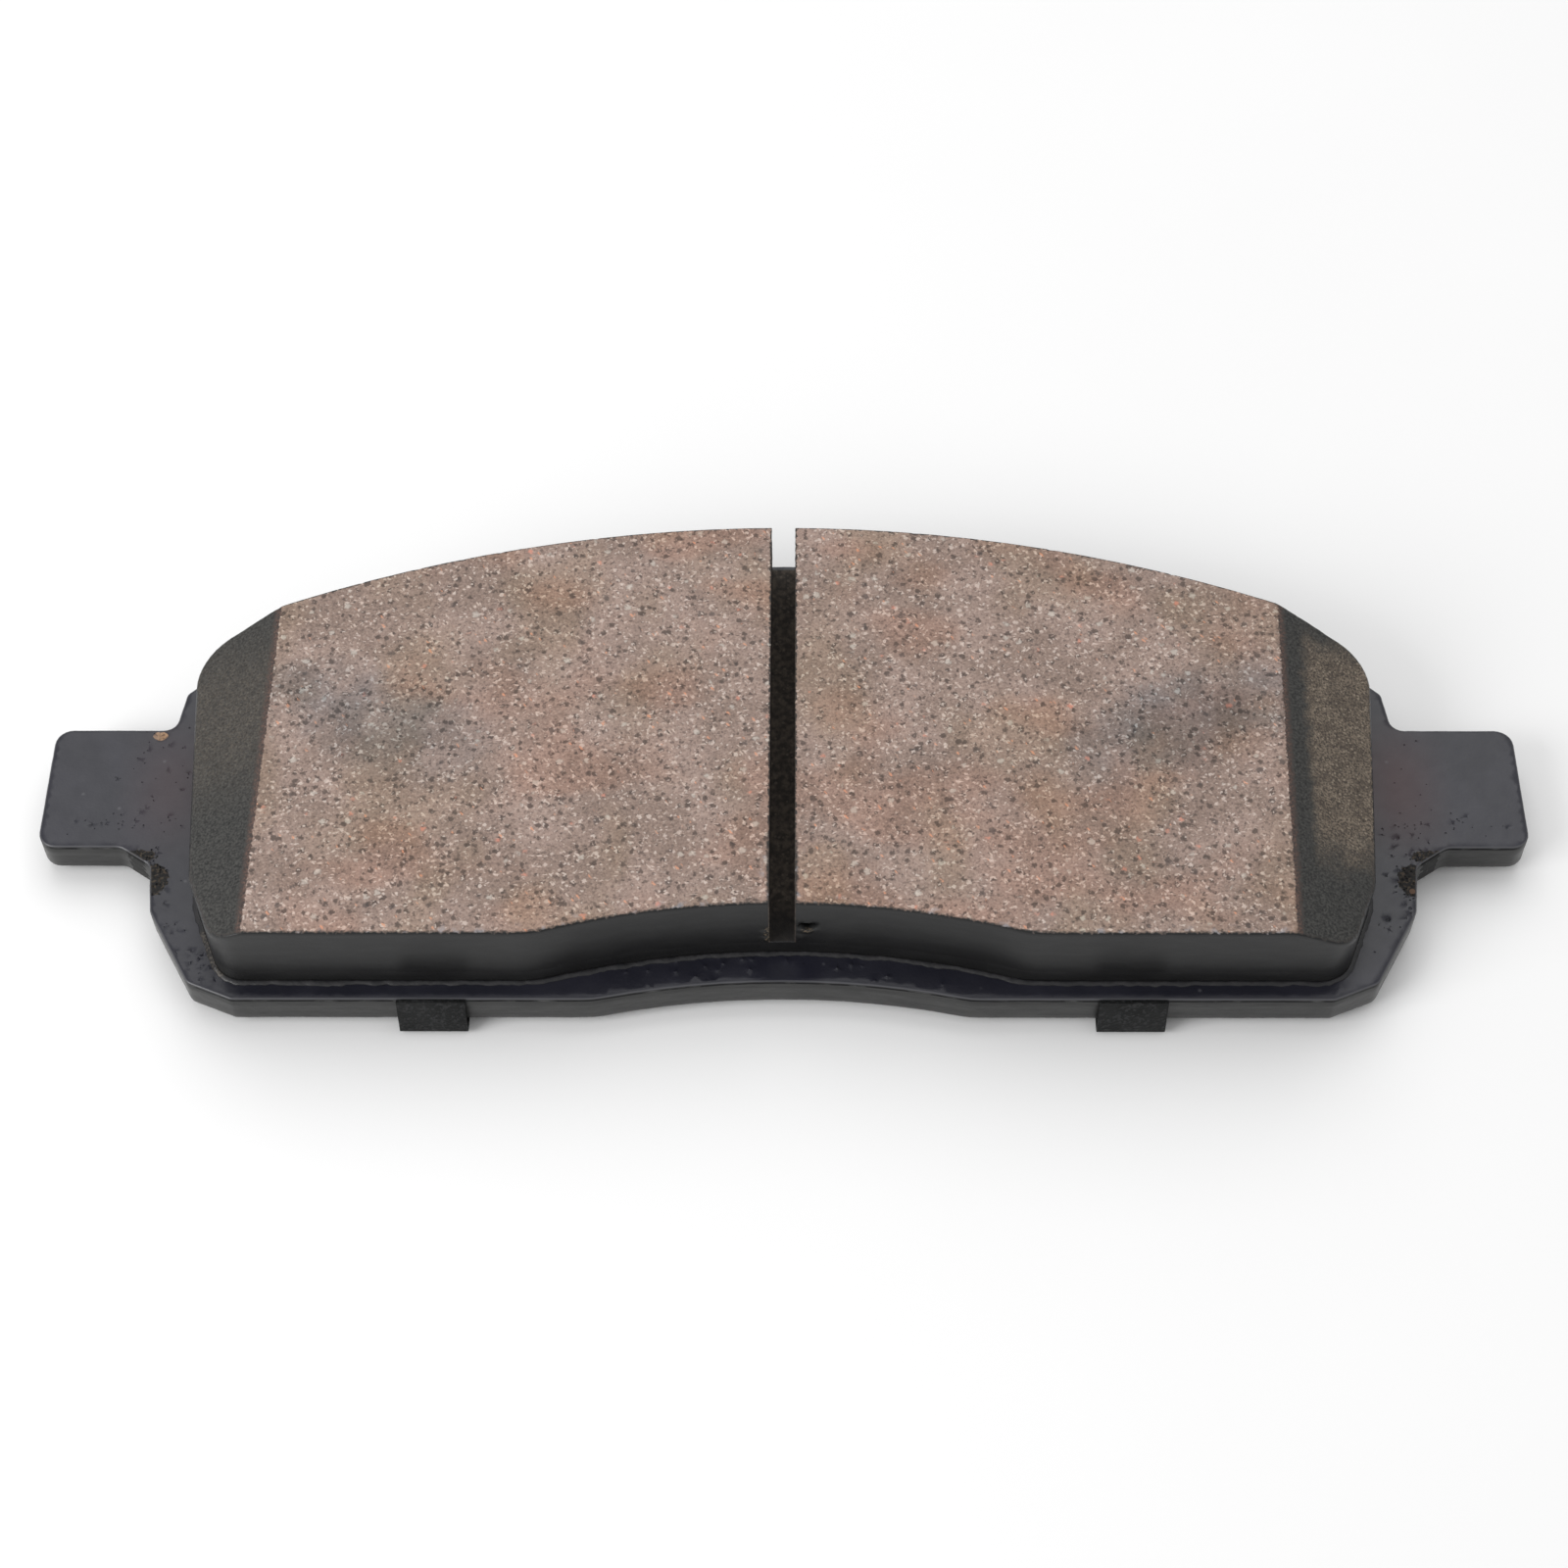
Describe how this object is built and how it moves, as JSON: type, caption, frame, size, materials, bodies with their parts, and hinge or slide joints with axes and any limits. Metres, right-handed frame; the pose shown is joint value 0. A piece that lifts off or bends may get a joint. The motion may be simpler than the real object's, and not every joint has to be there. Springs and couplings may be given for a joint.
{
  "type": "disc brake pad",
  "caption": "Front disc brake pad with an eared steel backing plate, a slotted and chamfered friction lining and a clip-on laminated noise shim.",
  "frame": {"origin": "middle of the pad's bounding footprint, on the outer face of the shim, which the caliper piston or fingers press on", "axes": "+X along the pad from ear to ear, +Y outward from the wheel's centre, +Z towards the rotor; the rotor's axis is parallel to Z, below the pad at -Y"},
  "size_m": [0.187, 0.0685, 0.017],
  "materials": {
    "shim_rubber": "fine-grained black rubber coat",
    "shim_coated_steel": "thin black rubber-coated steel with a grainy matt face",
    "damping_rubber": "matt viscoelastic layer",
    "shim_bare_steel": "cold-rolled steel",
    "shim_adhesive": "pressure-sensitive adhesive film",
    "plate_powder_coat": "satin blue-black powder coat, pitted at the lower notches, with a few bare rusty spots",
    "bonding_resin": "dark cured resin bead",
    "underlayer_composite": "dense dark composite with painted side walls",
    "friction_composite": "ground semi-metallic composite with dark grains, pale flakes and copper fibres"
  },
  "bodies": {
    "root": {"shim_outer_coating": "shim_rubber", "shim_clip_sheet": "shim_coated_steel", "shim_damping_layer": "damping_rubber", "shim_inner_sheet": "shim_bare_steel", "shim_adhesive_film": "shim_adhesive", "backing_plate": "plate_powder_coat", "bonding_adhesive": "bonding_resin", "underlayer": "underlayer_composite", "friction_block_left": "friction_composite", "friction_block_right": "friction_composite"}
  },
  "joints": []
}
